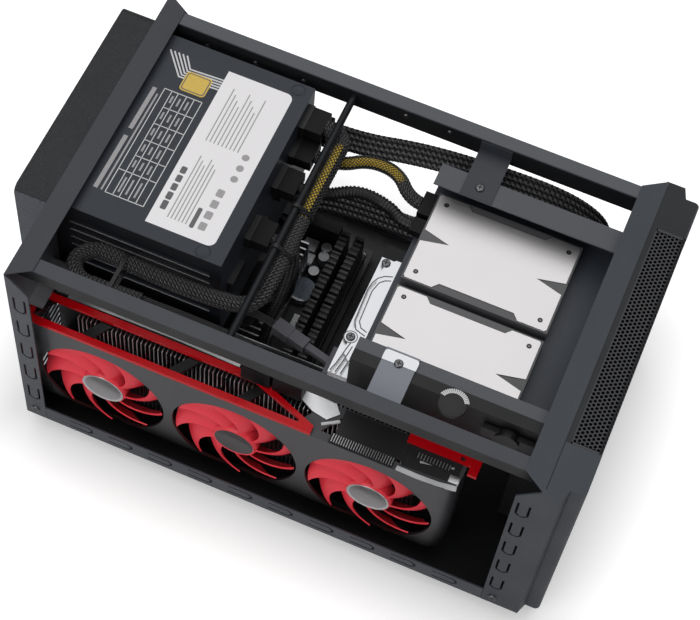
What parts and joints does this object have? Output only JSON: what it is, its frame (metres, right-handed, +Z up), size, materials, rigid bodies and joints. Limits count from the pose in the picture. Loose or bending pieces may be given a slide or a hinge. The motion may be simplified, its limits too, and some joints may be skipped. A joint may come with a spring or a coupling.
{
  "type": "mini-itx pc case",
  "caption": "Compact opened computer case with folded steel frame, mesh front, drive cage, power supply, mainboard and a graphics card with red fans.",
  "frame": {"origin": "middle of the case on the plane that its feet stand on", "axes": "+Z up, -Y towards the mesh front, -X towards the graphics card"},
  "size_m": [0.243, 0.4034, 0.202],
  "materials": {
    "chassis_steel": "fine textured powder coat, charcoal",
    "hood_steel": "coarse textured powder coat, black",
    "bezel_plastic": "satin moulded, charcoal",
    "mesh_steel": "satin black",
    "port_plastic": "matt black",
    "button_plastic": "glossy black",
    "foot_rubber": "matt",
    "screw_steel": "dark zinc",
    "rod_steel": "fine textured powder coat, charcoal",
    "latch_plastic": "satin black",
    "ssd_shell": "satin grey",
    "ssd_plate": "brushed",
    "drive_alloy": "bright lid, satin body",
    "fan_plastic": "satin black",
    "psu_steel": "satin gunmetal",
    "guard_wire": "bright",
    "psu_inner": "bare board",
    "socket_plastic": "matt black",
    "plug_plastic": "satin grey",
    "board_laminate": "black solder mask",
    "standoff_brass": "turned",
    "port_metal": "plated",
    "memory_cover": "satin black",
    "board_metal": "satin grey",
    "heatsink_alloy": "extruded",
    "shroud_plastic": "gunmetal plate, glossy edge",
    "trim_red": "deep gloss red",
    "blade_red": "coral red, grey hub cap",
    "pipe_copper": "bare copper",
    "cable_sleeve": "braided black",
    "tie_nylon": "matt black"
  },
  "bodies": {
    "chassis": {"base_tray": "chassis_steel", "rear_panel": "chassis_steel", "front_panel": "chassis_steel", "left_top_rail": "chassis_steel", "right_top_rail": "chassis_steel", "cross_rod": "rod_steel", "front_bezel": "bezel_plastic", "mesh_panel": "mesh_steel", "front_port_block": "port_plastic", "rubber_feet": "foot_rubber", "case_screws": "screw_steel", "drive_cage": "chassis_steel", "drive_shelf": "chassis_steel", "cage_brackets": "chassis_steel", "ssd_bodies": "ssd_shell", "ssd_plates": "ssd_plate", "hard_drive": "drive_alloy", "front_fan_frame": "fan_plastic", "psu_hood": "hood_steel", "psu_shell": "psu_steel", "psu_cover": "psu_steel", "psu_fan_frame": "fan_plastic", "psu_fan_guard": "guard_wire", "psu_board": "psu_inner", "psu_inlet": "socket_plastic", "psu_sockets": "socket_plastic", "power_plugs": "plug_plastic", "motherboard": "board_laminate", "board_standoffs": "standoff_brass", "rear_ports": "port_metal", "io_shield": "port_metal", "board_sockets": "socket_plastic", "memory_modules": "memory_cover", "board_parts": "board_metal", "processor_socket": "port_metal", "processor": "port_metal", "cooler_heatsink": "heatsink_alloy", "cooler_fan_frame": "fan_plastic", "gpu_board": "board_laminate", "gpu_backplate": "board_metal", "gpu_bracket": "port_metal", "gpu_heatsink": "heatsink_alloy", "gpu_heat_pipes": "pipe_copper", "gpu_shroud": "shroud_plastic", "gpu_red_frame": "trim_red", "board_power_cable": "cable_sleeve", "graphics_cable": "cable_sleeve", "processor_cable": "cable_sleeve", "drive_cables": "cable_sleeve", "cable_ties": "tie_nylon"},
    "gpu_fan_1": {"gpu_fan_1": "blade_red"},
    "gpu_fan_2": {"gpu_fan_2": "blade_red"},
    "gpu_fan_3": {"gpu_fan_3": "blade_red"},
    "front_fan_rotor": {"front_fan_rotor": "fan_plastic"},
    "psu_fan_rotor": {"psu_fan_rotor": "fan_plastic"},
    "cooler_fan_rotor": {"cooler_fan_rotor": "fan_plastic"},
    "power_button": {"power_button": "button_plastic"},
    "reset_button": {"reset_button": "button_plastic"},
    "drive_latch": {"drive_latch": "latch_plastic"},
    "psu_switch": {"psu_switch": "socket_plastic"}
  },
  "joints": [
    {"name": "gpu_fan_1_spin", "type": "hinge", "parent": "chassis", "child": "gpu_fan_1", "pos_m": [-0.104, 0.11965, 0.0772], "axis": [-1, 0, 0], "continuous": true},
    {"name": "gpu_fan_2_spin", "type": "hinge", "parent": "chassis", "child": "gpu_fan_2", "pos_m": [-0.104, 0.02405, 0.0772], "axis": [-1, 0, 0], "continuous": true},
    {"name": "gpu_fan_3_spin", "type": "hinge", "parent": "chassis", "child": "gpu_fan_3", "pos_m": [-0.104, -0.07165, 0.0772], "axis": [-1, 0, 0], "continuous": true},
    {"name": "front_fan_spin", "type": "hinge", "parent": "chassis", "child": "front_fan_rotor", "pos_m": [0, -0.16375, 0.075], "axis": [0, -1, 0], "continuous": true},
    {"name": "psu_fan_spin", "type": "hinge", "parent": "chassis", "child": "psu_fan_rotor", "pos_m": [0.019, 0.12055, 0.122], "axis": [0, 0, -1], "continuous": true},
    {"name": "cooler_fan_spin", "type": "hinge", "parent": "chassis", "child": "cooler_fan_rotor", "pos_m": [0.018, 0.08425, 0.072], "axis": [0, 0, 1], "continuous": true},
    {"name": "power_button_press", "type": "slide", "parent": "chassis", "child": "power_button", "axis": [-1, 0, 0], "range_m": [0, 0.0012], "stiffness_N_per_m": 500},
    {"name": "reset_button_press", "type": "slide", "parent": "chassis", "child": "reset_button", "axis": [-1, 0, 0], "range_m": [0, 0.0012], "stiffness_N_per_m": 500},
    {"name": "drive_latch_slide", "type": "slide", "parent": "chassis", "child": "drive_latch", "axis": [0, 1, 0], "range_m": [0, 0.006]},
    {"name": "psu_switch_rock", "type": "hinge", "parent": "chassis", "child": "psu_switch", "pos_m": [0.039, 0.19575, 0.1467], "axis": [1, 0, 0], "range_deg": [-8, 8]}
  ]
}
